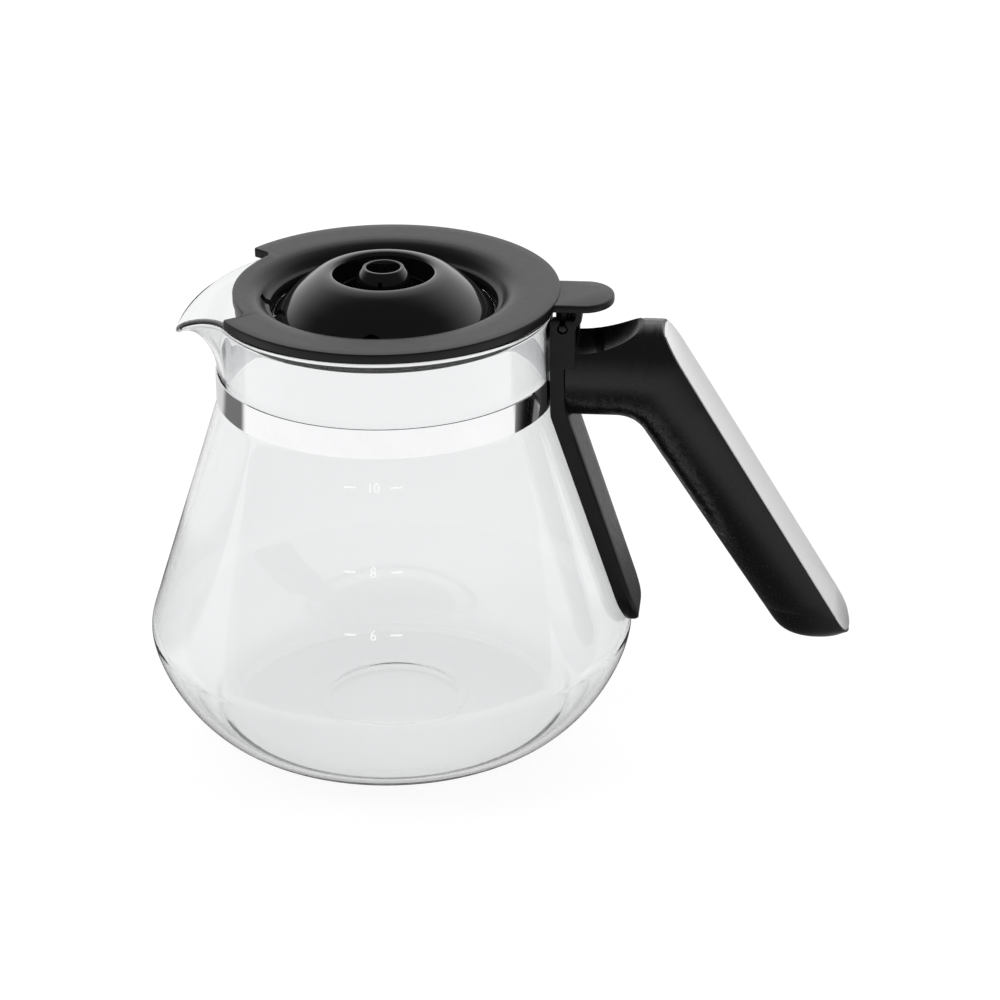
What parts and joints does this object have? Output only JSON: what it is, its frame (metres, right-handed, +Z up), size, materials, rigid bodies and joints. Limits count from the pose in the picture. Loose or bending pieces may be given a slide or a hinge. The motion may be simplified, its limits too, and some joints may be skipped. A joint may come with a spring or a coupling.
{
  "type": "filter coffee jug",
  "caption": "Wide-bellied glass filter coffee jug with a pouring lip, a steel neck band, a black handle with a steel inlay and a hinged flow-through lid.",
  "frame": {"origin": "centre of the jug's flat base, on the surface it stands on", "axes": "+Z up, +X toward the handle, -X the pouring lip, -Y the side with the cup marks"},
  "size_m": [0.2153, 0.148, 0.1463],
  "materials": {
    "jug_glass": "clear blown borosilicate, polished",
    "band_steel": "bright polished stainless steel strip",
    "yoke_zinc": "zinc plated steel",
    "band_screw_zinc": "zinc plated steel",
    "spine_plastic": "fine satin moulded black",
    "pad_silicone": "matt dark grey silicone",
    "shell_plastic": "satin moulded black",
    "shell_screw_zinc": "zinc plated steel",
    "cover_plastic": "satin moulded black",
    "cover_screw_upper_zinc": "zinc plated steel",
    "cover_screw_lower_zinc": "zinc plated steel",
    "tape_foam": "thin white adhesive tape",
    "inlay_steel": "fine brushed stainless sheet",
    "lid_plastic": "satin moulded black",
    "dome_plastic": "polished black",
    "flow_plate_plastic": "satin moulded black",
    "pusher_plastic": "polished black",
    "pin_plastic": "satin black"
  },
  "bodies": {
    "jug": {"glass_jug": "jug_glass", "neck_band": "band_steel", "band_yoke": "yoke_zinc", "band_screw": "band_screw_zinc", "handle_spine": "spine_plastic", "strap_pad": "pad_silicone", "handle_shell": "shell_plastic", "shell_screw": "shell_screw_zinc", "handle_cover": "cover_plastic", "cover_screw_upper": "cover_screw_upper_zinc", "cover_screw_lower": "cover_screw_lower_zinc", "inlay_tape": "tape_foam", "grip_inlay": "inlay_steel"},
    "lid": {"lid_ring": "lid_plastic", "lid_dome": "dome_plastic", "lid_flow_plate": "flow_plate_plastic", "drip_stop_pusher": "pusher_plastic", "hinge_pin": "pin_plastic"}
  },
  "joints": [
    {"name": "lid_hinge", "type": "hinge", "parent": "jug", "child": "lid", "pos_m": [0.054, 0, 0.1323], "axis": [0, 1, 0], "range_deg": [0, 70]}
  ]
}
